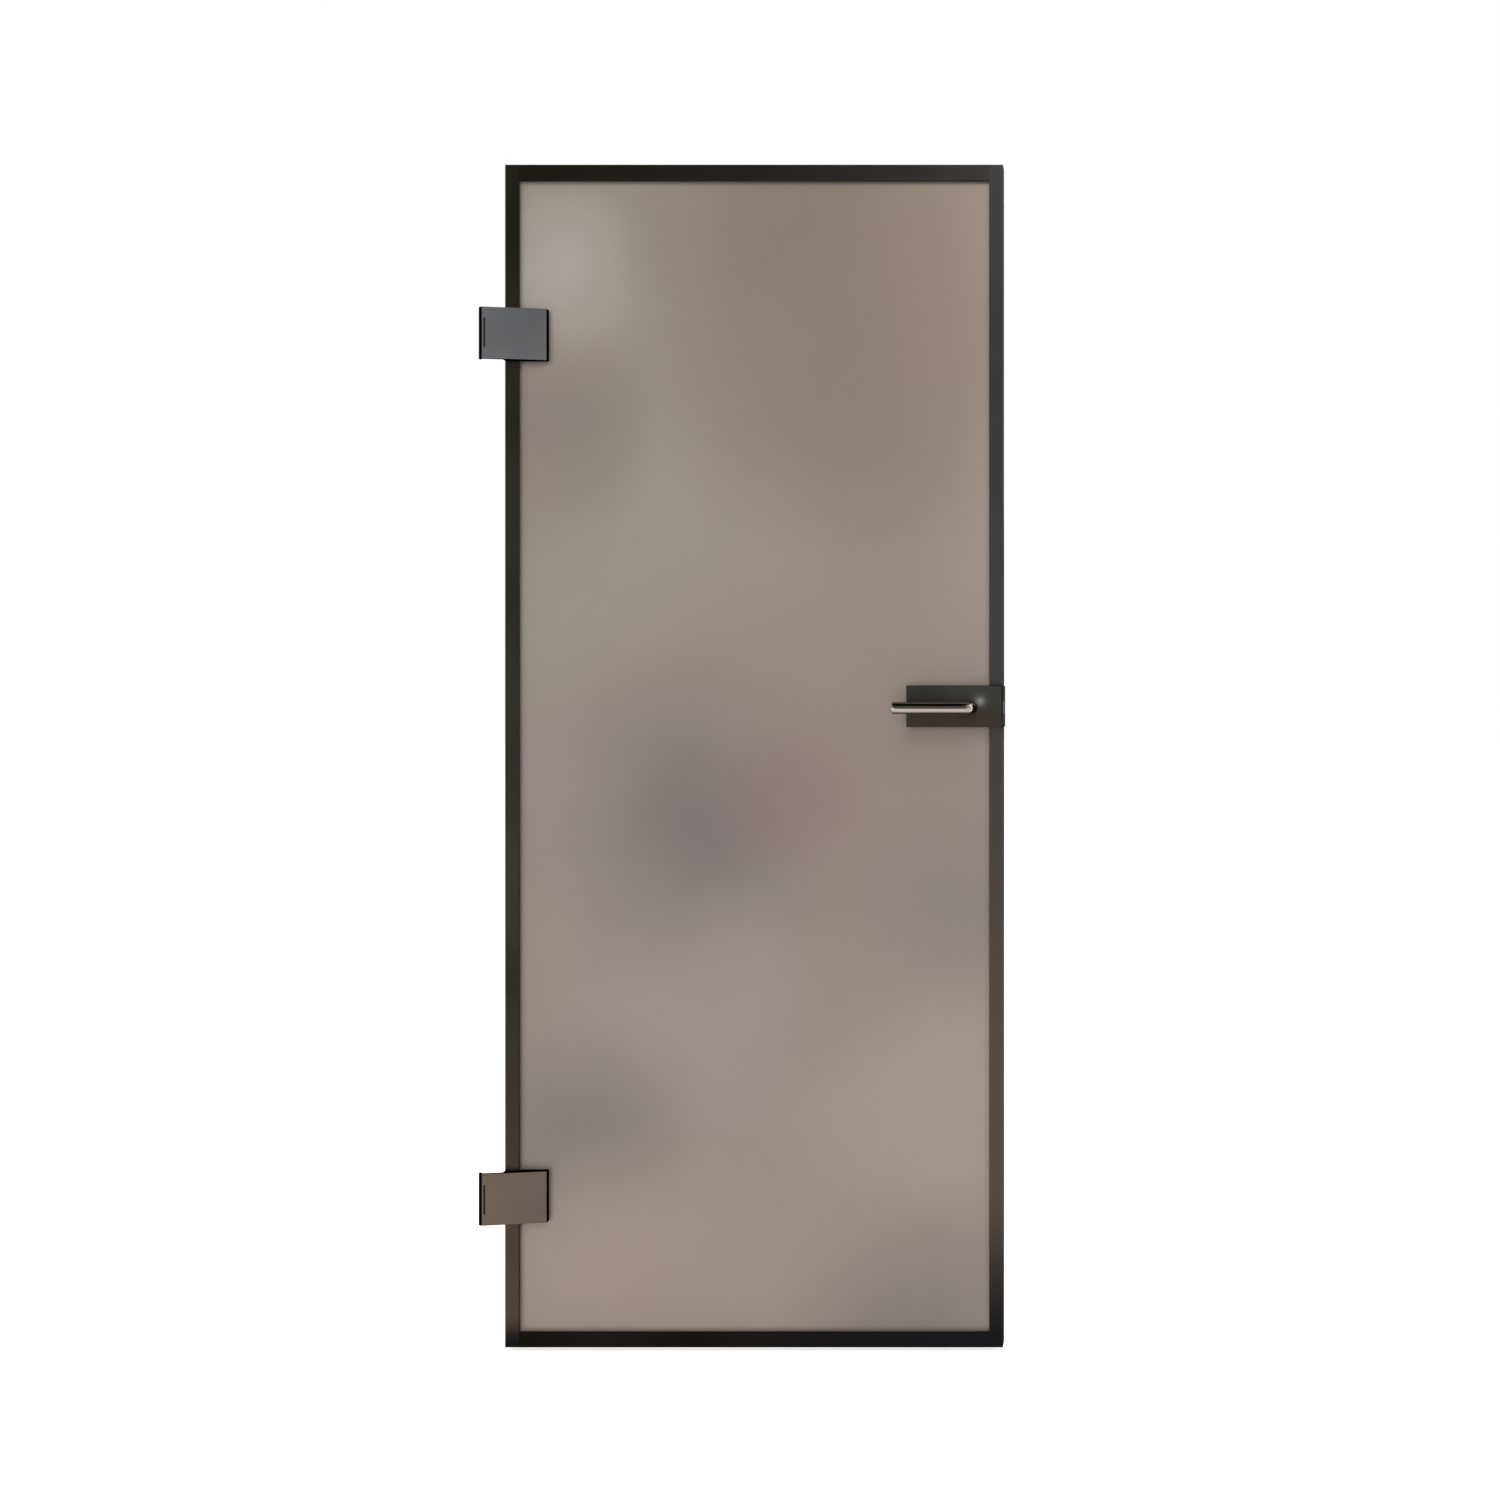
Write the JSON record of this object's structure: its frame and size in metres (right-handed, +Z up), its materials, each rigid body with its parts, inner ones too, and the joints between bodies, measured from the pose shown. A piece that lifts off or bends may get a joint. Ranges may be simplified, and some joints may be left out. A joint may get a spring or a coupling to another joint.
{
  "type": "glass door",
  "caption": "Framed satin glass door leaf that swings on two covered edge hinges with wall brackets, with a lever lock at the free edge.",
  "frame": {"origin": "middle of the wall face of the lower wall bracket", "axes": "+X from the hinges to the lock edge, +Y into the wall, away from a viewer in front, +Z up"},
  "size_m": [0.8833, 0.159, 1.981],
  "materials": {
    "bronze_glass": "satin, bronze tint",
    "frame_metal": "black anodised, satin",
    "hinge_metal": "dark grey anodised, satin",
    "clamp_metal": "cast, matte",
    "bracket_metal": "black, satin",
    "pin_steel": "ground",
    "case_metal": "dark anodised, satin",
    "lever_metal": "dark polished",
    "rubber": "matte",
    "bearing_plastic": "matte"
  },
  "bodies": {
    "wall_side": {"lower_wall_bracket": "bracket_metal", "lower_hinge_pin": "pin_steel", "lower_hinge_washer_top": "bearing_plastic", "lower_hinge_washer_bottom": "bearing_plastic", "upper_wall_bracket": "bracket_metal", "upper_hinge_pin": "pin_steel", "upper_hinge_washer_top": "bearing_plastic", "upper_hinge_washer_bottom": "bearing_plastic"},
    "leaf": {"lower_hinge_cover": "hinge_metal", "lower_hinge_front_clamp": "clamp_metal", "lower_hinge_back_clamp": "hinge_metal", "lower_hinge_front_pad": "rubber", "lower_hinge_back_pad": "rubber", "upper_hinge_cover": "hinge_metal", "upper_hinge_front_clamp": "clamp_metal", "upper_hinge_back_clamp": "hinge_metal", "upper_hinge_front_pad": "rubber", "upper_hinge_back_pad": "rubber", "glass_pane": "bronze_glass", "hinge_stile": "frame_metal", "lock_stile": "frame_metal", "top_rail": "frame_metal", "bottom_rail": "frame_metal", "hinge_stile_gasket": "rubber", "lock_stile_gasket": "rubber", "top_rail_gasket": "rubber", "bottom_rail_gasket": "rubber", "lock_case_front": "case_metal", "lock_case_back": "case_metal", "lock_core": "pin_steel", "latch_bolt": "bearing_plastic", "lock_front_pad": "rubber", "lock_back_pad": "rubber", "front_lever_bushing": "bearing_plastic", "back_lever_bushing": "bearing_plastic"},
    "lever": {"front_lever": "lever_metal", "back_lever": "lever_metal", "lever_spindle": "pin_steel"}
  },
  "joints": [
    {"name": "door_swing", "type": "hinge", "parent": "wall_side", "child": "leaf", "pos_m": [0, -0.02, 0.7211], "axis": [0, 0, -1], "range_deg": [0, 105]},
    {"name": "lever_turn", "type": "hinge", "parent": "leaf", "child": "lever", "pos_m": [0.8137, -0.0065, 0.8182], "axis": [0, -1, 0], "range_deg": [0, 40], "stiffness_Nm_per_rad": 1.5, "springref_deg": -28.65}
  ]
}
